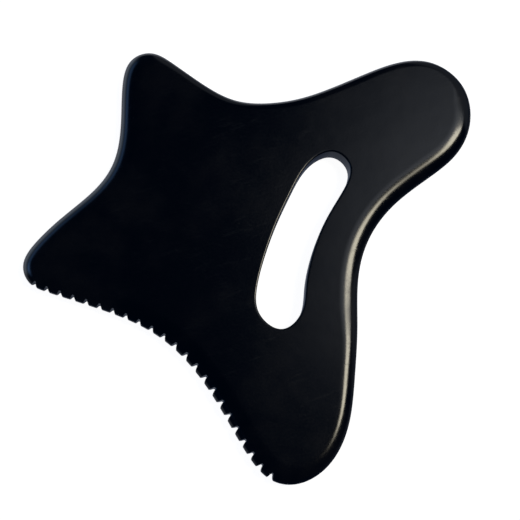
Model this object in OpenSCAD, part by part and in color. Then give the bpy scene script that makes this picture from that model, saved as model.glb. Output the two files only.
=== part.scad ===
// Comb-edged gua sha scraper, cut and ground from one slab of black stone.
// It lies flat on the XY plane with its thickness along +Z. The origin is under the
// middle of its outline. The pull points are drawn for a body 163 mm long.

/* [Body] */
// Length over the west tip and the head lobe
body_length = 163; // [158:1:175]
// Thickness of the slab
thickness = 8; // [6:0.5:10]
// Width of the rounded rim, from the edge in to the flat face
rim_width = 7; // [4:0.5:7]
// Fullness of the rounded rim: 2 is an ellipse, more is softer where it meets the face
rim_fullness = 2.2; // [2:0.1:3]
// Height of the upright band left at the very edge
edge_band = 0.6; // [0.2:0.1:1.5]

/* [Finger slot] */
// Width of the soft shoulder round the slot, on each face
slot_shoulder = 1; // [1:0.5:3]
// Height that the shoulder falls from the face to the slot wall
slot_drop = 0.5; // [0.4:0.1:1.5]

/* [Comb] */
// Number of gullets along the comb edge
gullet_count = 23; // [10:1:23]
// Spacing of the gullets at the west end of the comb
first_pitch = 4.85; // [4.5:0.05:4.9]
// Spacing of the gullets at the foot end of the comb
last_pitch = 5.3; // [4.9:0.1:5.4]
// Depth of the shallow gullets at the west end, below the tooth tips
first_depth = 1.5; // [1:0.1:2]
// Depth of the full gullets at the foot end
gullet_depth = 2.1; // [1.5:0.1:3]
// Width of a full gullet at the tooth tips
gullet_mouth = 2; // [1.6:0.1:2.6]
// How far the mouth leans towards the foot end from over the bottom
gullet_lean = 0.15; // [0:0.05:0.4]
// Radius at the bottom of a gullet
gullet_root = 0.5; // [0.3:0.05:0.7]

/* [Smoothness] */
// Facets between two pull points of the edge
edge_steps = 5; // [3:1:6]
// Facets across the rounded rim, on each face
rim_steps = 6; // [4:1:8]

/* [Hidden] */

drawn_length = 163;
size = body_length / drawn_length;

// Pull points, one group for each feature. The edge is a closed cubic B-spline:
// it runs smoothly just inside these points and stone is on its left.
small_knob = [[-37.5, 80.5], [-47, 76.5]];
west_hollow = [[-48.5, 64.5], [-48, 50], [-49.5, 36.5], [-56, 26], [-68, 16]];
west_tip = [[-76, 8], [-83, -1], [-80, -9.5], [-72.5, -12]];
comb_edge = [
    [-58, -16.5], [-43, -21.5], [-30.5, -28.5], [-20.5, -38.5], [-12.5, -50], [-6, -61.5],
];
foot_lobe = [[1.5, -74], [9, -79.5], [19, -79], [29, -71.5], [35, -58]];
waist = [[36.5, -41], [38, -24], [37.5, -8], [40.5, 7], [50, 21.5], [65, 32.5]];
head_lobe = [[76.5, 41], [82.5, 53.5], [81, 69], [68, 79], [54.5, 78]];
north_hollow = [[41, 72], [22, 63], [9, 60], [-6, 59.5], [-18, 66.5], [-30, 75.5]];
edge_pulls = concat(small_knob, west_hollow, west_tip, comb_edge,
                    foot_lobe, waist, head_lobe, north_hollow);

slot_top = [[29.5, 43], [36.5, 36.5], [35, 29]];
slot_inner_side = [[27, 17], [22, 5.5], [18.5, -8.5], [19, -18.5]];
slot_bottom = [[11, -27.5], [2, -21], [0.5, -13]];
slot_outer_side = [[4.5, 2.5], [9, 15], [14, 25.5], [19.5, 37]];
slot_pulls = concat(slot_top, slot_inner_side, slot_bottom, slot_outer_side);

slot_steps = 4;
// Distance along the edge from its first point to the first gullet
comb_start = 98.7 * size;
// How far a gullet's cutter stands outside the edge
cutter_reach = 2;
root_step = 30;

// One point and one direction of a cubic B-spline span, at t from 0 to 1
function span_point(p, i, t) =
    let (n = len(p), s = 1 - t)
    (s * s * s * p[i] + (3 * t * t * t - 6 * t * t + 4) * p[(i + 1) % n]
        + (3 * s * s * s - 6 * s * s + 4) * p[(i + 2) % n] + t * t * t * p[(i + 3) % n]) / 6;
function span_slope(p, i, t) =
    let (n = len(p), s = 1 - t)
    (-s * s * p[i] + (3 * t * t - 4 * t) * p[(i + 1) % n]
        + (4 * s - 3 * s * s) * p[(i + 2) % n] + t * t * p[(i + 3) % n]) / 2;

function spline_points(p) =
    [for (i = [0:len(p) - 1]) for (k = [0:edge_steps - 1]) span_point(p, i, k / edge_steps)];
// Unit vectors that point from the edge into the stone
function spline_normals(p) =
    [for (i = [0:len(p) - 1]) for (k = [0:edge_steps - 1])
        let (d = span_slope(p, i, k / edge_steps)) [-d.y, d.x] / norm(d)];

// Middle of the box round a list of points
function box_middle(q) =
    let (x = [for (a = q) a.x], y = [for (a = q) a.y])
    [min(x) + max(x), min(y) + max(y)] / 2;

drawn_edge = spline_points(edge_pulls);
middle = box_middle(drawn_edge);
edge = [for (q = drawn_edge) (q - middle) * size];
edge_normals = spline_normals(edge_pulls);
slot = [for (q = spline_points(slot_pulls)) (q - middle) * size];
slot_normals = spline_normals(slot_pulls);

function inset(path, normals, depth) =
    [for (i = [0:len(path) - 1]) path[i] + depth * normals[i]];

// Section across an edge, as [depth into the stone, height], from the lower face round
// to the upper one. Each corner is a quarter of a superellipse, depth wide and drop high.
function rounded_section(depth, drop, fullness, steps) =
    let (corner = [for (k = [0:steps]) let (a = 90 * k / steps)
        [depth * (1 - pow(cos(a), 2 / fullness)), drop * (1 - sin(a))]])
    concat(
        [for (k = [steps:-1:0]) corner[k]],
        [for (q = corner) [q.x, thickness - q.y]]);
rim_section = rounded_section(rim_width, (thickness - edge_band) / 2, rim_fullness, rim_steps);
slot_section = rounded_section(slot_shoulder, slot_drop, rim_fullness, slot_steps);

// Distance along the edge at each of its points, for placing the gullets
steps_along = [for (i = [0:len(edge) - 1]) norm(edge[(i + 1) % len(edge)] - edge[i])];
along = [for (i = 0, s = 0; i < len(edge); s = s + steps_along[i], i = i + 1) s];
along_x = [for (i = [0:len(edge) - 1]) [along[i], edge[i].x]];
along_y = [for (i = [0:len(edge) - 1]) [along[i], edge[i].y]];
function edge_at(s) = [lookup(s, along_x), lookup(s, along_y)];

// A closed band of stone that follows a path with the given section
module stone_rim(path, normals, section) {
    n = len(path);
    m = len(section);
    rings = [for (q = section) for (p = inset(path, normals, q.x)) [p.x, p.y, q.y]];
    faces = [for (j = [0:m - 1]) for (i = [0:n - 1])
        let (i2 = (i + 1) % n, low = j * n, high = ((j + 1) % m) * n)
        each [[low + i, high + i, high + i2], [low + i, high + i2, low + i2]]];
    polyhedron(rings, faces, convexity = 10);
}

// How far along the edge gullet k is. The spacing grows evenly from first to last.
function gullet_along(k) =
    comb_start + first_pitch * k + (last_pitch - first_pitch) * k * k / (2 * gullet_count - 2);
// Depth of gullet k. It grows from a third to three fifths of the way along the comb.
function gullet_depth_at(k) =
    let (t = max(0, min(1, (k / (gullet_count - 1) - 0.34) / 0.26)))
    first_depth + (gullet_depth - first_depth) * t * t * (3 - 2 * t);

// Cutter for one gullet: a flared slot with a round bottom, pointing along +Y
module gullet_cutter(depth) {
    centre = depth - gullet_root;
    rise = (centre + cutter_reach) / (gullet_depth - gullet_root);
    outer = gullet_root + (gullet_mouth / 2 - gullet_root) * rise;
    lean = gullet_lean * rise;
    root = [for (a = [0:root_step:180]) [gullet_root * cos(a), centre + gullet_root * sin(a)]];
    translate([0, 0, -1])
        linear_extrude(thickness + 2)
            polygon(concat([[lean - outer, -cutter_reach], [lean + outer, -cutter_reach]], root));
}

module comb_gullets() {
    for (k = [0:gullet_count - 1]) {
        s = gullet_along(k);
        run = edge_at(s + gullet_mouth / 2) - edge_at(s - gullet_mouth / 2);
        translate(edge_at(s))
            rotate(atan2(run.y, run.x))
                gullet_cutter(gullet_depth_at(k));
    }
}

// The flat middle of the slab, between the rim and the slot's own rounded edge
module flat_middle() {
    linear_extrude(thickness)
        difference() {
            polygon(inset(edge, edge_normals, rim_width));
            polygon(inset(slot, slot_normals, slot_shoulder));
        }
}

module scraper() {
    color("#14161c") {
        flat_middle();
        difference() {
            stone_rim(edge, edge_normals, rim_section);
            comb_gullets();
        }
        stone_rim(slot, slot_normals, slot_section);
    }
}

scraper();
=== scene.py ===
"""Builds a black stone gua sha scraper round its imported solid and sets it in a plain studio."""

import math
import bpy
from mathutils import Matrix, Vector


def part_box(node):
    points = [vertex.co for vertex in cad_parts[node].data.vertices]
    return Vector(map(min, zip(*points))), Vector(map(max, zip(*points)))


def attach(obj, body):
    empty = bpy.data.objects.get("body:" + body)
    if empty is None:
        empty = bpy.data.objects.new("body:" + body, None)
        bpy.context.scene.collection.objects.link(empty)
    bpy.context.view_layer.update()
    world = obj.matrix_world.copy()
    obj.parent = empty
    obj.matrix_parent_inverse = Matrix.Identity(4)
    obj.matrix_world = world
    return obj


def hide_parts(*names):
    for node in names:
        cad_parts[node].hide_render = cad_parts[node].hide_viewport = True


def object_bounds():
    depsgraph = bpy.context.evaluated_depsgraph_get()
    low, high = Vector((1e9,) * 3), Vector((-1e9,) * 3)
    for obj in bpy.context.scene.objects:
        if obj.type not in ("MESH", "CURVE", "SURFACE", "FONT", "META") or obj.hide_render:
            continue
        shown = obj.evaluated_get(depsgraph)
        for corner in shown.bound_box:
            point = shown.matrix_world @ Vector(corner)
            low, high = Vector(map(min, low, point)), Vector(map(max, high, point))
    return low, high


bl_info = {
    "name": "Gua Sha Scraper",
    "version": (1, 0, 0),
    "blender": (4, 5, 0),
    "location": "3D View > Sidebar > Scraper",
    "description": "Polished stone scraper with a comb edge, on a plain pale studio floor",
    "category": "Object",
}

import bpy
import numpy as np
from mathutils import Matrix, Vector
from mathutils.geometry import delaunay_2d_cdt

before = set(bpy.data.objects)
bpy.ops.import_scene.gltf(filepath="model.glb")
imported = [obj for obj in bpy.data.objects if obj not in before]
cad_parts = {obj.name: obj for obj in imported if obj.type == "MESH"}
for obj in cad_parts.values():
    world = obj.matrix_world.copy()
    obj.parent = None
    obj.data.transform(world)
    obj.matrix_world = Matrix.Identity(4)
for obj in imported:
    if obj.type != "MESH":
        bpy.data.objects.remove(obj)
CAD_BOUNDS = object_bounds()

NODE = "scraper"
PIECE = "stone_scraper"
MM = 0.001

# Pull points of the two outlines, in millimetres, as the solid has them. Each outline is
# a closed cubic B-spline that runs just inside its pull points, with stone on its left.
SMALL_KNOB = [(-37.5, 80.5), (-47, 76.5)]
WEST_HOLLOW = [(-48.5, 64.5), (-48, 50), (-49.5, 36.5), (-56, 26), (-68, 16)]
WEST_TIP = [(-76, 8), (-83, -1), (-80, -9.5), (-72.5, -12)]
COMB_EDGE = [(-58, -16.5), (-43, -21.5), (-30.5, -28.5), (-20.5, -38.5), (-12.5, -50), (-6, -61.5)]
FOOT_LOBE = [(1.5, -74), (9, -79.5), (19, -79), (29, -71.5), (35, -58)]
WAIST = [(36.5, -41), (38, -24), (37.5, -8), (40.5, 7), (50, 21.5), (65, 32.5)]
HEAD_LOBE = [(76.5, 41), (82.5, 53.5), (81, 69), (68, 79), (54.5, 78)]
NORTH_HOLLOW = [(41, 72), (22, 63), (9, 60), (-6, 59.5), (-18, 66.5), (-30, 75.5)]
EDGE_PULLS = (
    SMALL_KNOB + WEST_HOLLOW + WEST_TIP + COMB_EDGE + FOOT_LOBE + WAIST + HEAD_LOBE + NORTH_HOLLOW
)
SLOT_TOP = [(29.5, 43), (36.5, 36.5), (35, 29)]
SLOT_INNER_SIDE = [(27, 17), (22, 5.5), (18.5, -8.5), (19, -18.5)]
SLOT_BOTTOM = [(11, -27.5), (2, -21), (0.5, -13)]
SLOT_OUTER_SIDE = [(4.5, 2.5), (9, 15), (14, 25.5), (19.5, 37)]
SLOT_PULLS = SLOT_TOP + SLOT_INNER_SIDE + SLOT_BOTTOM + SLOT_OUTER_SIDE

# How far the built piece's box may differ from the solid's, in millimetres
BOX_TOLERANCE = 0.25
# Keeps a division safe
TINY = 1e-9


# ---------------------------------------------------------------------------
# Settings that a user would change
# ---------------------------------------------------------------------------


def length_setting(name, description, default_mm):
    """A length shown in the scene's units."""
    return bpy.props.FloatProperty(
        name=name,
        description=description,
        default=default_mm * MM,
        min=0.0,
        precision=4,
        subtype="DISTANCE",
        unit="LENGTH",
    )


def colour_setting(name, description, default):
    """A colour without alpha."""
    return bpy.props.FloatVectorProperty(
        name=name,
        description=description,
        default=default,
        size=3,
        min=0.0,
        max=1.0,
        subtype="COLOR",
    )


class ScraperShape(bpy.types.PropertyGroup):
    """Sizes of the ground edges"""

    rim_width: length_setting("Rim width", "From the edge in to the flat face", 7.0)
    rim_fullness: bpy.props.FloatProperty(
        name="Rim fullness",
        description="2 is an ellipse; more is softer where the rim meets the face",
        default=2.2,
        min=2.0,
        max=3.0,
    )
    edge_band: length_setting("Edge band", "Upright band left at the very edge", 0.6)
    slot_shoulder: length_setting("Slot shoulder", "Soft shoulder round the finger slot", 0.65)
    slot_drop: length_setting("Slot drop", "Fall of the shoulder from face to wall", 0.45)
    gullet_count: bpy.props.IntProperty(
        name="Gullets", description="Number of gullets along the comb edge", default=23, min=2
    )
    comb_start: length_setting("Comb start", "Along the edge to the first gullet", 98.7)
    first_pitch: length_setting("First pitch", "Gullet spacing at the west end", 4.85)
    last_pitch: length_setting("Last pitch", "Gullet spacing at the foot end", 5.3)
    first_depth: length_setting("First depth", "Depth of the shallow gullets at the west end", 1.5)
    gullet_depth: length_setting("Gullet depth", "Depth of the full gullets at the foot end", 2.1)
    gullet_mouth: length_setting("Gullet mouth", "Width of a full gullet at the tooth tips", 2.0)
    gullet_lean: length_setting("Gullet lean", "Lean of the mouth towards the foot end", 0.15)
    gullet_root: length_setting("Gullet root", "Radius at the bottom of a gullet", 0.5)
    arris: length_setting("Worn arris", "Softness of the gullets' upper and lower arrises", 0.35)
    tooth_corner: length_setting("Tooth corner", "Softness of the tooth corners", 1.4)


class ScraperStone(bpy.types.PropertyGroup):
    """Colours and polish of the stone"""

    deep: colour_setting("Deep stone", "Main colour", (0.0001, 0.0008, 0.0019))
    cloud: colour_setting("Clouded stone", "Colour of the faint clouds", (0.0048, 0.0048, 0.0050))
    fleck: colour_setting("Flecks", "Colour of the mineral flecks", (0.035, 0.034, 0.030))
    ground: colour_setting("Ground stone", "Colour of the cut gullets", (0.016, 0.017, 0.020))
    polish: bpy.props.FloatProperty(
        name="Polish roughness",
        description="Roughness of the polished faces",
        default=0.13,
        min=0.0,
        max=1.0,
        subtype="FACTOR",
    )


def power_setting(name, description, default):
    """Brightness of a light, where 1 is white."""
    return bpy.props.FloatProperty(name=name, description=description, default=default, min=0.0)


class ScraperStudio(bpy.types.PropertyGroup):
    """Floor and lights"""

    floor: colour_setting("Floor", "Colour of the floor", (0.35, 0.35, 0.35))
    floor_glow: power_setting("Floor glow", "Light from under the floor", 0.96)
    dusk: colour_setting("Dusk", "Colour of the unlit rest of the room", (0.000, 0.012, 0.048))
    haze: colour_setting("Haze", "Colour of the faint glow round the window", (0.87, 0.92, 1.0))
    haze_power: power_setting("Haze power", "Brightness of that glow", 1.38)
    window: colour_setting("Window", "Colour of the soft window", (1.0, 0.92, 0.72))
    window_power: power_setting("Window power", "Brightness of the window", 12.0)
    fill: colour_setting("Fill", "Colour of the low fill on the west side", (0.24, 0.48, 1.0))
    fill_power: power_setting("Fill power", "Brightness of the fill", 1.7)
    ring: colour_setting("Ring", "Colour of the pale wall low in the west", (0.626, 0.783, 1.0))
    ring_power: power_setting("Ring power", "Brightness of the wall", 1.15)
    table: colour_setting(
        "Table", "Colour that the stone's lower edges mirror", (0.864, 0.909, 1.0)
    )
    table_power: power_setting("Table power", "Brightness of that mirrored table", 0.715)


# ---------------------------------------------------------------------------
# Outlines
# ---------------------------------------------------------------------------


def spline(pulls, along):
    """Points and slopes of a closed cubic B-spline, where 1 in along is one pull point."""
    p = np.asarray(pulls, float)
    first = np.floor(along).astype(int)
    t = (along - first)[:, None]
    s = 1 - t
    a, b, c, d = (p[(first + k) % len(p)] for k in range(4))
    near_b, near_c = 3 * t**3 - 6 * t**2 + 4, 3 * s**3 - 6 * s**2 + 4
    point = (s**3 * a + near_b * b + near_c * c + t**3 * d) / 6
    slope = (-(s**2) * a + (3 * t**2 - 4 * t) * b + (4 * s - 3 * s**2) * c + t**2 * d) / 2
    return point, slope


class Outline:
    """A closed outline in millimetres, measured along its length."""

    SAMPLES = 64  # for each pull point

    def __init__(self, pulls):
        self.pulls = pulls
        self.shift = np.zeros(2)
        self.along = np.arange(len(pulls) * self.SAMPLES + 1) / self.SAMPLES
        point, _ = spline(pulls, self.along)
        step = np.hypot(*np.diff(point, axis=0).T)
        self.distance = np.concatenate([[0.0], np.cumsum(step)])
        self.box = point.min(0), point.max(0)

    @property
    def length(self):
        return self.distance[-1]

    def at(self, distance):
        """Points, and unit vectors into the stone, at these distances along the outline."""
        along = np.interp(distance % self.length, self.distance, self.along)
        point, slope = spline(self.pulls, along)
        inward = np.stack([-slope[:, 1], slope[:, 0]], 1)
        return point + self.shift, inward / np.linalg.norm(inward, axis=1)[:, None]


def smooth_step(value, low, high):
    """Rises from 0 at low to 1 at high."""
    t = np.clip((value - low) / (high - low), 0, 1)
    return t * t * (3 - 2 * t)


def smooth_max(a, b, softness):
    """The larger of a and b, blended over a band of the given width."""
    band = np.maximum(softness, TINY)
    mix = np.clip(0.5 + 0.5 * (a - b) / band, 0, 1)
    return b + (a - b) * mix + band * mix * (1 - mix)


# ---------------------------------------------------------------------------
# Mesh of the stone
# ---------------------------------------------------------------------------

# Facets across each rounded corner, from the wall to the face
RIM_STEPS = 26
SHOULDER_STEPS = 12
# Distances between vertices along the two edges and over the flat face, in millimetres
PLAIN_SPACING = 1.2
SLOT_SPACING = 0.7
FACE_SPACING = 5.0
# A narrow flat ring beside each rounded corner, which keeps the shading of the face level
LAND_WIDTH = 0.3
# How near two points of the face's net may be before they count as one
SAME_POINT = 1e-6
# Facets along one gullet: half a tooth, a flank, the bottom, a flank and half a tooth.
# A flank's facets go on past the gullet's mouth by a margin.
GULLET_STEPS = (4, 8, 8, 8, 4)
MOUTH_MARGIN = 0.5
# Where along the comb, as a share of it, the gullets grow from shallow to full
DEEPENING = (0.34, 0.60)
# How far outside the edge a gullet's flanks are followed
FLANK_OUTSIDE = 1.0
# How far in front of a gullet's wall the ground look fades out
CUT_FADE = 0.4
# The rim is ground a little narrower round this place on the foot's east side
NARROW_PLACE = (33.0, -52.0)
NARROW_REACH = (18.0, 38.0)
FOOT_SHARE = 0.22
# and a good deal narrower where the edge faces north, east of the small knob
NORTH_FACING = (0.10, 0.90)
NORTH_STARTS = (-42.0, -24.0)
NORTH_SHARE = 0.50


def corner_section(depth, drop, fullness, steps):
    """A quarter superellipse from the upright wall to the face, as (depth in, drop below)."""
    turn = np.linspace(0, math.pi / 2, steps + 1)
    inward = depth * (1 - np.cos(turn).clip(0) ** (2 / fullness))
    return inward, drop * (1 - np.sin(turn))


def edge_section(depth, drop, fullness, steps, thickness):
    """The section across an edge, from the lower face round to the upper one."""
    inward, below = corner_section(depth, drop, fullness, steps)
    return np.concatenate([inward[::-1], inward]), np.concatenate([below[::-1], thickness - below])


def gullet_places(shape):
    """Where each gullet is along the edge and how deep it is, in millimetres."""
    first, last = shape.first_pitch / MM, shape.last_pitch / MM
    count = shape.gullet_count
    k = np.arange(count)
    places = shape.comb_start / MM + first * k + (last - first) * k * k / (2 * count - 2)
    shallow, full = shape.first_depth / MM, shape.gullet_depth / MM
    return places, shallow + (full - shallow) * smooth_step(k / (count - 1), *DEEPENING)


def comb_distances(shape, outline):
    """Distances along the edge, close together on the gullets and wider elsewhere."""
    places, _ = gullet_places(shape)
    halfway = (places[1:] + places[:-1]) / 2
    before = places[0] - shape.first_pitch / MM / 2
    after = places[-1] + shape.last_pitch / MM / 2
    borders = np.concatenate([[before], halfway, [after]])
    bend = shape.gullet_mouth / MM / 2 + MOUTH_MARGIN
    inner = shape.gullet_root / MM
    runs = []
    for start, place, end in zip(borders, places, borders[1:]):
        stops = (start, place - bend, place - inner, place + inner, place + bend, end)
        for low, high, steps in zip(stops, stops[1:], GULLET_STEPS):
            runs.append(np.linspace(low, high, steps, endpoint=False))
    round_to = before + outline.length
    plain = np.linspace(after, round_to, int((round_to - after) / PLAIN_SPACING), endpoint=False)
    return np.concatenate([*runs, plain])


def gullet_cuts(shape, distance):
    """How deep the comb is cut in from the edge at each distance along it."""
    places, depths = gullet_places(shape)
    mouth, root = shape.gullet_mouth / MM / 2, shape.gullet_root / MM
    height, lean = shape.gullet_depth / MM - root, shape.gullet_lean / MM
    offsets = distance[:, None] - places[None, :]
    nearest = np.abs(offsets).argmin(1)
    off = offsets[np.arange(len(distance)), nearest]
    depth = depths[nearest]
    flare = (mouth - root + np.where(off > 0, lean, -lean)) / height
    flank = depth - root - (np.abs(off) - root) / flare
    round_end = depth - root + np.sqrt(np.clip(root**2 - off**2, 0, None))
    cut = np.maximum(np.where(np.abs(off) < root, round_end, flank), -FLANK_OUTSIDE)
    return np.maximum(smooth_max(cut, np.zeros_like(off), shape.tooth_corner / MM), 0.0)


class MeshParts:
    """Vertices and faces gathered one band at a time."""

    def __init__(self):
        self.verts = []
        self.faces = []
        self.cut = []
        self.count = 0

    def add_verts(self, verts, cut=None):
        """Adds rows of x, y, z and returns their numbers."""
        self.verts.append(verts)
        self.cut.append(np.zeros(len(verts)) if cut is None else cut)
        numbers = np.arange(self.count, self.count + len(verts))
        self.count += len(verts)
        return numbers

    def add_strip(self, lower, upper):
        """Joins two closed rows of vertices with quads that face outward."""
        quads = np.stack([lower, np.roll(lower, -1), np.roll(upper, -1), upper], 1)
        self.faces.extend(quads.tolist())


def rim_widths(point, inward, middle):
    """How wide the rim is at each point of the edge, as a share of the full width."""
    place = point - middle
    away = np.linalg.norm(place - NARROW_PLACE, axis=1)
    foot = 1 - smooth_step(away, *NARROW_REACH)
    north = smooth_step(-inward[:, 1], *NORTH_FACING) * smooth_step(place[:, 0], *NORTH_STARTS)
    return 1 - FOOT_SHARE * foot - NORTH_SHARE * north


def add_band(parts, point, inward, section, widths=1.0, gullet=None, arris=0.0):
    """Sweeps an edge section along an outline; returns its lowest and highest rows."""
    depths, heights = section
    rows = []
    for depth, height in zip(depths, heights):
        inset = np.full(len(point), depth) * widths
        cut = np.zeros(len(point))
        if gullet is not None:
            inset = smooth_max(inset, gullet, np.minimum(arris, 2 * gullet))
            cut = np.clip((gullet - depth) / CUT_FADE, 0, 1)
        plan = point + inward * inset[:, None]
        rows.append(parts.add_verts(np.column_stack([plan, np.full(len(plan), height)]), cut))
    for lower, upper in zip(rows, rows[1:]):
        parts.add_strip(lower, upper)
    return rows[0], rows[-1]


def inside(loop, points):
    """Which of the points lie inside a closed loop."""
    x, y = points[:, 0][:, None], points[:, 1][:, None]
    x1, y1 = loop.T
    x2, y2 = np.roll(loop, -1, 0).T
    rise = np.where(y2 == y1, TINY, y2 - y1)
    crossing = ((y1 > y) != (y2 > y)) & (x < (x2 - x1) * (y - y1) / rise + x1)
    return crossing.sum(1) % 2 == 1


def clear_of(loop, points, gap):
    """Which of the points are farther than gap from every corner of a loop."""
    away = np.linalg.norm(points[:, None, :] - loop[None, :, :], axis=2)
    return away.min(1) > gap


def face_points(outer, hole):
    """An even net of points on the flat face, clear of its two borders."""
    low, high = outer.min(0), outer.max(0)
    row_gap = FACE_SPACING * math.sqrt(3) / 2
    rows = []
    for k, y in enumerate(np.arange(low[1], high[1], row_gap)):
        x = np.arange(low[0] + (k % 2) * FACE_SPACING / 2, high[0], FACE_SPACING)
        rows.append(np.column_stack([x, np.full(len(x), y)]))
    net = np.concatenate(rows)
    net = net[inside(outer, net) & ~inside(hole, net)]
    return net[clear_of(outer, net, FACE_SPACING / 2) & clear_of(hole, net, FACE_SPACING / 2)]


def face_triangles(outer, hole):
    """Points and upward triangles that fill the face between its two borders."""
    net = face_points(outer, hole)
    points = np.concatenate([outer, hole, net])
    n, m = len(outer), len(hole)
    edges = [(i, (i + 1) % n) for i in range(n)]
    edges += [(n + i, n + (i + 1) % m) for i in range(m)]
    found = delaunay_2d_cdt([Vector(p) for p in points], edges, [], 0, SAME_POINT)
    if len(found[0]) != len(points):
        raise RuntimeError("the face's borders touch or cross")
    order = np.array([sources[0] for sources in found[3]])
    triangles = order[np.array(found[2])]
    middle = points[triangles].mean(1)
    triangles = triangles[inside(outer, middle) & ~inside(hole, middle)]
    a, b, c = (points[triangles[:, k]] for k in range(3))
    turn = (b[:, 0] - a[:, 0]) * (c[:, 1] - a[:, 1]) - (b[:, 1] - a[:, 1]) * (c[:, 0] - a[:, 0])
    triangles[turn < 0] = triangles[turn < 0][:, ::-1]
    return net, triangles


def build_stone_mesh(shape, thickness, middle):
    """The whole scraper as one closed mesh, in metres."""
    parts = MeshParts()
    edge, slot = Outline(EDGE_PULLS), Outline(SLOT_PULLS)
    edge.shift = slot.shift = middle - (edge.box[0] + edge.box[1]) / 2

    distance = comb_distances(shape, edge)
    gullet = gullet_cuts(shape, distance)
    width, drop = shape.rim_width / MM, (thickness - shape.edge_band / MM) / 2
    section = edge_section(width, drop, shape.rim_fullness, RIM_STEPS, thickness)
    point, inward = edge.at(distance)
    widths = rim_widths(point, inward, middle)
    rim_rows = add_band(parts, point, inward, section, widths, gullet, shape.arris / MM)
    outer = point + inward * (widths[:, None] * width + LAND_WIDTH)

    count = int(slot.length / SLOT_SPACING)
    width, drop = shape.slot_shoulder / MM, shape.slot_drop / MM
    section = edge_section(width, drop, shape.rim_fullness, SHOULDER_STEPS, thickness)
    point, inward = slot.at(np.linspace(0, slot.length, count, endpoint=False))
    slot_rows = add_band(parts, point, inward, section)
    hole = point + inward * (width + LAND_WIDTH)

    net, triangles = face_triangles(outer, hole)
    flat = np.concatenate([outer, hole, net])
    for height, upward, rim_row, slot_row in (
        (0.0, False, rim_rows[0], slot_rows[0]),
        (thickness, True, rim_rows[1], slot_rows[1]),
    ):
        numbers = parts.add_verts(np.column_stack([flat, np.full(len(flat), height)]))
        for row, border in (
            (rim_row, numbers[: len(outer)]),
            (slot_row, numbers[len(outer) : len(outer) + len(hole)]),
        ):
            parts.add_strip(*((row, border) if upward else (border, row)))
        faces = numbers[triangles]
        parts.faces.extend((faces if upward else faces[:, ::-1]).tolist())

    mesh = bpy.data.meshes.new(PIECE)
    mesh.from_pydata((np.concatenate(parts.verts) * MM).tolist(), [], parts.faces)
    mesh.validate()
    mesh.shade_smooth()
    cut = mesh.attributes.new("gullet_cut", "FLOAT", "POINT")
    cut.data.foreach_set("value", np.concatenate(parts.cut).astype(np.float32))
    return mesh


# ---------------------------------------------------------------------------
# Materials
# ---------------------------------------------------------------------------


class Nodes:
    """Makes and joins shader nodes."""

    def __init__(self, tree):
        self.tree = tree
        tree.nodes.clear()

    def put(self, value, socket):
        """Links a value to a socket, or sets the socket to a plain value."""
        if isinstance(value, bpy.types.NodeSocket):
            self.tree.links.new(value, socket)
        elif socket.type == "RGBA":
            socket.default_value = (*value[:3], 1.0)
        else:
            socket.default_value = value

    def add(self, kind, settings=None, **inputs):
        """A new node; an input's name has _ for each space."""
        node = self.tree.nodes.new(kind)
        for key, value in (settings or {}).items():
            setattr(node, key, value)
        for key, value in inputs.items():
            self.put(value, node.inputs[key.replace("_", " ")])
        return node

    def maths(self, operation, *values, clamp=False):
        """One operation on one or two numbers."""
        node = self.add("ShaderNodeMath", {"operation": operation, "use_clamp": clamp})
        for value, socket in zip(values, node.inputs):
            self.put(value, socket)
        return node.outputs[0]

    def times(self, *values):
        """The product of all the values."""
        product = values[0]
        for value in values[1:]:
            product = self.maths("MULTIPLY", product, value)
        return product

    def ramp(self, value, low, high, to_low=0.0, to_high=1.0):
        """Carries value smoothly from the range low..high to to_low..to_high."""
        node = self.add("ShaderNodeMapRange", {"interpolation_type": "SMOOTHSTEP"})
        for entry, socket in zip((value, low, high, to_low, to_high), node.inputs):
            self.put(entry, socket)
        return node.outputs[0]

    def mix(self, factor, a, b):
        """Blends two colours."""
        node = self.add("ShaderNodeMix", {"data_type": "RGBA"})
        for value, socket in zip((factor, a, b), (node.inputs[0], node.inputs[6], node.inputs[7])):
            self.put(value, socket)
        return node.outputs[2]


# Sizes of the stone's patterns, as features to the metre, and where each one shows
CLOUD_SCALE, CLOUD_SHOWS = 38.0, (0.42, 0.70)
PATCH_SCALE = 130.0
FLECK_SCALE, FLECK_SHOWS, FLECK_PATCHES = 850.0, (0.10, 0.20, 1.0, 0.0), (0.50, 0.68)
GRAIN_SCALE, GRAIN_SHOWS = 1500.0, (0.3, 0.7)
ROLLING_SCALE = 70.0
# Direction of the hand-polishing hairlines, and how fine they are across and along it
HAIRLINE_TURN = math.radians(-20)
HAIRLINE_SCALE = (90.0, 1500.0, 90.0)
HAIRLINE_SHOWS, HAIRLINE_PATCHES = (0.54, 0.66), (0.45, 0.60)
# How much of their own colour the flecks and the cut gullets have
FLECK_COLOUR = 0.12
CUT_COLOUR = 0.7
# What each pattern adds to the roughness of the polish
GRAIN_ROUGH = (-0.02, 0.03)
HAIRLINE_ROUGH = 0.05
CLOUD_ROUGH = 0.02
FLECK_ROUGH = 0.10
CUT_ROUGH = 0.08
# Relief, as strength and height in metres
PIT_RELIEF = {"Strength": 0.10, "Distance": 0.00004}
ROLLING_RELIEF = {"Strength": 0.35, "Distance": 0.00012}
HAIRLINE_RELIEF = {"Strength": 0.30, "Distance": 0.000008}


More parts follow.
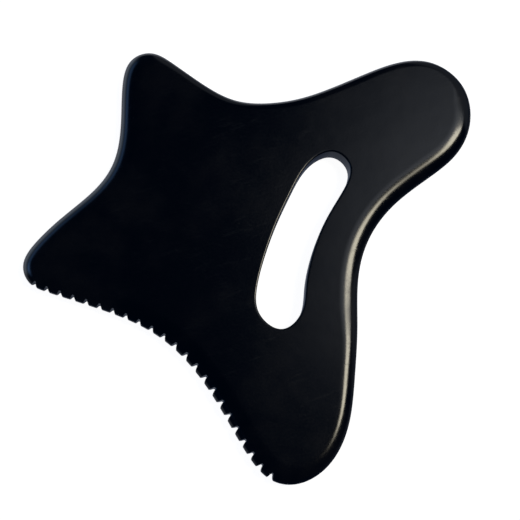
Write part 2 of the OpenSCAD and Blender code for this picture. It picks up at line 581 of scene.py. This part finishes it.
def stone_material(stone):
    """Satin-polished black stone: faint clouds, fine grain, small flecks, dull gullets."""
    material = bpy.data.materials.new("polished_black_stone")
    material.use_nodes = True
    n = Nodes(material.node_tree)
    place = n.add("ShaderNodeTexCoord").outputs["Object"]

    def noise(scale, detail=2.0, roughness=0.5, vector=place):
        """An even pattern from 0 to 1, fixed to the stone."""
        settings = {"Vector": vector, "Scale": scale, "Detail": detail, "Roughness": roughness}
        return n.add("ShaderNodeTexNoise", **settings).outputs[0]

    cloudy = n.ramp(noise(CLOUD_SCALE, detail=5.0, roughness=0.62), *CLOUD_SHOWS)
    grain = noise(GRAIN_SCALE, detail=3.0, roughness=0.6)
    patches = noise(PATCH_SCALE)
    cells = n.add("ShaderNodeTexVoronoi", Vector=place, Scale=FLECK_SCALE).outputs["Distance"]
    fleck = n.times(n.ramp(cells, *FLECK_SHOWS), n.ramp(patches, *FLECK_PATCHES))
    cut = n.add("ShaderNodeAttribute", {"attribute_name": "gullet_cut"}).outputs["Fac"]

    colour = n.mix(cloudy, stone.deep, stone.cloud)
    colour = n.mix(n.times(fleck, FLECK_COLOUR), colour, stone.fleck)
    colour = n.mix(n.times(cut, CUT_COLOUR), colour, stone.ground)

    # The hairlines' noise is turned first and stretched after it, so it runs straight
    turned = n.add("ShaderNodeMapping", Vector=place, Rotation=(0, 0, HAIRLINE_TURN))
    drawn = n.add("ShaderNodeMapping", Vector=turned.outputs[0], Scale=HAIRLINE_SCALE)
    hairs = noise(1.0, detail=3.0, roughness=0.7, vector=drawn.outputs[0])
    hairline = n.times(n.ramp(hairs, *HAIRLINE_SHOWS), n.ramp(patches, *HAIRLINE_PATCHES))

    rough = n.ramp(grain, *GRAIN_SHOWS, *(stone.polish + extra for extra in GRAIN_ROUGH))
    for pattern, extra in (
        (hairline, HAIRLINE_ROUGH),
        (cloudy, CLOUD_ROUGH),
        (fleck, FLECK_ROUGH),
        (cut, CUT_ROUGH),
    ):
        rough = n.maths("ADD", rough, n.times(pattern, extra), clamp=True)

    bump = n.add("ShaderNodeBump", Height=grain, **PIT_RELIEF)
    for height, relief in ((noise(ROLLING_SCALE), ROLLING_RELIEF), (hairline, HAIRLINE_RELIEF)):
        bump = n.add("ShaderNodeBump", Height=height, Normal=bump.outputs[0], **relief)
    shader = n.add(
        "ShaderNodeBsdfPrincipled",
        Base_Color=colour,
        Roughness=rough,
        IOR=1.54,
        Normal=bump.outputs[0],
    )
    n.add("ShaderNodeOutputMaterial", Surface=shader.outputs[0])
    return material


# The darker end of the floor's mottle, as a share of its colour
FLOOR_SHADE = 0.985


def floor_material(studio):
    """Plain pale paper with the faintest mottle."""
    material = bpy.data.materials.new("pale_floor")
    material.use_nodes = True
    n = Nodes(material.node_tree)
    place = n.add("ShaderNodeTexCoord").outputs["Object"]
    mottle = n.add("ShaderNodeTexNoise", Vector=place, Scale=6.0, Detail=2.0)
    shade = [FLOOR_SHADE * c for c in studio.floor]
    shader = n.add(
        "ShaderNodeBsdfPrincipled",
        Base_Color=n.mix(mottle.outputs[0], studio.floor, shade),
        Roughness=0.9,
        Emission_Color=(1.0, 1.0, 1.0),
        Emission_Strength=studio.floor_glow,
    )
    n.add("ShaderNodeOutputMaterial", Surface=shader.outputs[0])
    return material


# ---------------------------------------------------------------------------
# Studio
# ---------------------------------------------------------------------------

# The view: distance in metres, angles, and lens and sensor in millimetres
VIEW_DISTANCE = 0.450
VIEW_TILT = math.radians(13.44)
VIEW_TURN = math.radians(-13.45)
VIEW_LENS = 86.54
SENSOR = 36.0
# Where the view is centred, measured from the middle of the scraper
VIEW_CENTRE = Vector((0.00284, 0.00075, 0.0))
# Side of the floor, in metres
FLOOR_SIZE = 8.0
# Where each light rises and falls, in degrees. A tilt moves a border east for each degree
# to the north. The haze rises in two steps, each with its share.
HAZE_NEAR, HAZE_NEAR_SHARE = (3.5, 12.0), 0.6
HAZE_DEEP, HAZE_DEEP_SHARE = (8.0, 22.0), 0.4
HAZE_FAR = (45.0, 48.5, 1.0, 0.0)
HAZE_TILT, HAZE_TILT_FROM = 0.15, 14.0
HAZE_NORTH = ((4.0, 13.5), (15.0, 27.0))
# A fainter glow beyond the haze, round the north-east
GLOW_EAST = (8.0, 20.0)
GLOW_NORTH = (13.0, 24.0)
GLOW_HEIGHT = (80.0, 88.0, 1.0, 0.0)
GLOW_SHARE = 0.14
WINDOW_NEAR = (19.0, 27.0)
WINDOW_FAR = (33.0, 37.0, 1.0, 0.0)
WINDOW_TILT = 0.9
WINDOW_NORTH = ((-7.0, 3.0), (12.0, 15.0))
FILL_HEIGHT = ((46.0, 56.0), (60.0, 72.0))
RING_HEIGHT = ((62.0, 84.0), (92.0, 102.0))
# Where the two low lights fade to the east, to the north and, both alike, to the south.
# These and the table's borders are parts of a unit direction.
FILL_WEST = (-0.62, -0.32, 1.0, 0.0)
FILL_NORTH = (0.1, 0.4, 1.0, 0.5)
RING_WEST = (-0.65, -0.30, 1.0, 0.0)
LOW_LIGHT_NORTH = (-0.35, 0.0)
# The mirrored table, which is brighter to the north and weaker to the east. Its edge and
# the even part straight below are in degrees from straight up.
TABLE_EDGE = (86.0, 96.0)
TABLE_UNDER = (135.0, 160.0)
TABLE_NORTH = (-0.85, 0.2, 0.0, 1.0)
TABLE_BELOW = 0.25
TABLE_EAST = (0.0, 0.5, 1.0, 0.15)
BACKDROP_GREY = 0.86


class Sky:
    """Shader values for a direction: its parts to the east, north and up, and its angles
    in degrees."""

    def __init__(self, n):
        way = n.add("ShaderNodeTexCoord").outputs["Generated"]
        self.n = n
        self.east, self.north, self.up = n.add("ShaderNodeSeparateXYZ", Vector=way).outputs
        self.from_zenith = self.degrees("ARCCOSINE", self.up)
        self.toward_east = self.degrees("ARCTAN2", self.east, self.up)
        self.toward_north = self.degrees("ARCTAN2", self.north, self.up)

    def degrees(self, operation, *values):
        """An angle from one or two parts of the direction."""
        return self.n.maths("DEGREES", self.n.maths(operation, *values))

    def band(self, angle, rise, fall):
        """1 between the two ranges of an angle, with soft ends."""
        up = self.n.ramp(angle, rise[0], rise[1])
        down = self.n.ramp(angle, fall[0], fall[1], 1.0, 0.0)
        return self.n.times(up, down)


def studio_lights(n, sky, studio):
    """Each light as (shape from 0 to 1, colour, power)."""
    tilt = n.times(n.maths("SUBTRACT", sky.toward_north, HAZE_TILT_FROM), HAZE_TILT)
    tilted = n.maths("SUBTRACT", sky.toward_east, tilt)
    near = n.times(n.ramp(tilted, *HAZE_NEAR), HAZE_NEAR_SHARE)
    deep = n.times(n.ramp(tilted, *HAZE_DEEP), HAZE_DEEP_SHARE)
    haze = n.times(
        n.maths("ADD", near, deep),
        n.ramp(sky.toward_east, *HAZE_FAR),
        sky.band(sky.toward_north, *HAZE_NORTH),
    )
    glow = n.times(
        n.ramp(sky.toward_east, *GLOW_EAST),
        n.ramp(sky.toward_north, *GLOW_NORTH),
        n.ramp(sky.from_zenith, *GLOW_HEIGHT),
    )
    haze = n.maths("ADD", haze, n.times(glow, GLOW_SHARE))

    tilted = n.maths("SUBTRACT", sky.toward_east, n.times(sky.toward_north, WINDOW_TILT))
    window = n.times(
        n.ramp(sky.toward_east, *WINDOW_NEAR),
        n.ramp(tilted, *WINDOW_FAR),
        sky.band(sky.toward_north, *WINDOW_NORTH),
    )

    northwest = n.ramp(sky.north, *LOW_LIGHT_NORTH)
    fill = n.times(
        sky.band(sky.from_zenith, *FILL_HEIGHT),
        n.ramp(sky.east, *FILL_WEST),
        northwest,
        n.ramp(sky.north, *FILL_NORTH),
    )
    ring = n.times(
        sky.band(sky.from_zenith, *RING_HEIGHT), n.ramp(sky.east, *RING_WEST), northwest
    )

    under = n.ramp(sky.from_zenith, *TABLE_UNDER)
    beside = n.times(n.ramp(sky.north, *TABLE_NORTH), n.maths("SUBTRACT", 1.0, under))
    table = n.times(
        n.maths("ADD", beside, n.times(under, TABLE_BELOW)),
        n.ramp(sky.east, *TABLE_EAST),
        n.ramp(sky.from_zenith, *TABLE_EDGE),
    )
    return (
        (haze, studio.haze, studio.haze_power),
        (window, studio.window, studio.window_power),
        (fill, studio.fill, studio.fill_power),
        (ring, studio.ring, studio.ring_power),
        (table, studio.table, studio.table_power),
    )


def studio_world(studio):
    """A dusky room with all its lights. Seen directly, it is plain and pale."""
    world = bpy.data.worlds.new("soft_studio")
    bpy.context.scene.world = world
    world.use_nodes = True
    n = Nodes(world.node_tree)
    sky = Sky(n)
    total = n.add("ShaderNodeBackground", Color=studio.dusk, Strength=1.0).outputs[0]
    for shape, colour, power in studio_lights(n, sky, studio):
        light = n.add("ShaderNodeBackground", Color=colour, Strength=n.times(shape, power))
        both = n.add("ShaderNodeAddShader")
        n.put(total, both.inputs[0])
        n.put(light.outputs[0], both.inputs[1])
        total = both.outputs[0]
    pale = n.add("ShaderNodeBackground", Color=(BACKDROP_GREY,) * 3, Strength=1.0)
    seen = n.add("ShaderNodeLightPath").outputs["Is Camera Ray"]
    choose = n.add("ShaderNodeMixShader", Fac=seen)
    n.put(total, choose.inputs[1])
    n.put(pale.outputs[0], choose.inputs[2])
    n.add("ShaderNodeOutputWorld", Surface=choose.outputs[0])


def make_floor(studio, height):
    """A pale floor that the stone doesn't mirror, as under a lit table."""
    half = FLOOR_SIZE / 2
    mesh = bpy.data.meshes.new("studio_floor")
    turns = ((-1, -1), (1, -1), (1, 1), (-1, 1))
    mesh.from_pydata([(half * x, half * y, height) for x, y in turns], [], [(0, 1, 2, 3)])
    floor = bpy.data.objects.new("studio_floor", mesh)
    bpy.context.scene.collection.objects.link(floor)
    mesh.materials.append(floor_material(studio))
    floor.visible_glossy = False


def make_camera(middle):
    """A camera almost overhead, leaning towards the foot of the scraper."""
    target = middle + VIEW_CENTRE
    lean = Vector((math.sin(VIEW_TURN), -math.cos(VIEW_TURN), 0)) * math.sin(VIEW_TILT)
    place = target + VIEW_DISTANCE * (lean + Vector((0, 0, math.cos(VIEW_TILT))))
    ahead = (target - place).normalized()
    right = ahead.cross(Vector((0, 1, 0))).normalized()
    above = right.cross(ahead)
    data = bpy.data.cameras.new("studio_camera")
    data.lens = VIEW_LENS
    data.sensor_width = SENSOR
    data.clip_start = 0.01
    data.clip_end = 50
    camera = bpy.data.objects.new("studio_camera", data)
    bpy.context.scene.collection.objects.link(camera)
    turn = Matrix((right, above, -ahead)).transposed().to_4x4()
    camera.matrix_world = Matrix.Translation(place) @ turn
    bpy.context.scene.camera = camera


# ---------------------------------------------------------------------------
# Operators and panel
# ---------------------------------------------------------------------------


class SCRAPER_OT_stone(bpy.types.Operator):
    """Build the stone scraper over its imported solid"""

    bl_idname = "scraper.stone"
    bl_label = "Build Stone Scraper"

    def execute(self, context):
        low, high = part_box(NODE)
        middle = np.array(((low + high) / 2).xy / MM)
        shape = context.scene.scraper_shape
        mesh = build_stone_mesh(shape, (high.z - low.z) / MM, middle)
        piece = bpy.data.objects.new(PIECE, mesh)
        context.scene.collection.objects.link(piece)
        piece.location.z = low.z
        context.view_layer.update()
        corners = np.array([piece.matrix_world @ Vector(c) for c in piece.bound_box])
        off = max(np.abs(corners.min(0) - low).max(), np.abs(corners.max(0) - high).max()) / MM
        if off > BOX_TOLERANCE:
            raise RuntimeError(f"the stone's box is {off:.2f} mm off the solid's")
        mesh.materials.append(stone_material(context.scene.scraper_stone))
        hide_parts(NODE)
        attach(piece, "root")
        return {"FINISHED"}


class SCRAPER_OT_studio(bpy.types.Operator):
    """Set up the floor, the light and the camera"""

    bl_idname = "scraper.studio"
    bl_label = "Set Up Studio"

    def execute(self, context):
        low, high = CAD_BOUNDS
        studio = context.scene.scraper_studio
        make_floor(studio, low[2])
        studio_world(studio)
        make_camera((Vector(low) + Vector(high)) / 2)
        context.scene.view_settings.view_transform = "Standard"
        context.scene.view_settings.look = "None"
        return {"FINISHED"}


class SCRAPER_PT_panel(bpy.types.Panel):
    """Sizes, colours and buttons for the scraper"""

    bl_idname = "SCRAPER_PT_panel"
    bl_label = "Gua Sha Scraper"
    bl_space_type = "VIEW_3D"
    bl_region_type = "UI"
    bl_category = "Scraper"

    def draw(self, context):
        for group, operator in (
            ("scraper_shape", "scraper.stone"),
            ("scraper_stone", None),
            ("scraper_studio", "scraper.studio"),
        ):
            settings = getattr(context.scene, group)
            box = self.layout.box()
            for name in settings.__annotations__:
                box.prop(settings, name)
            if operator:
                box.operator(operator)


GROUPS = {
    "scraper_shape": ScraperShape,
    "scraper_stone": ScraperStone,
    "scraper_studio": ScraperStudio,
}
CLASSES = (*GROUPS.values(), SCRAPER_OT_stone, SCRAPER_OT_studio, SCRAPER_PT_panel)


def register():
    for cls in CLASSES:
        bpy.utils.register_class(cls)
    for name, group in GROUPS.items():
        setattr(bpy.types.Scene, name, bpy.props.PointerProperty(type=group))


def unregister():
    for name in GROUPS:
        delattr(bpy.types.Scene, name)
    for cls in reversed(CLASSES):
        bpy.utils.unregister_class(cls)


def main():
    register()
    bpy.ops.scraper.stone()
    bpy.ops.scraper.studio()


if __name__ == "__main__":
    main()
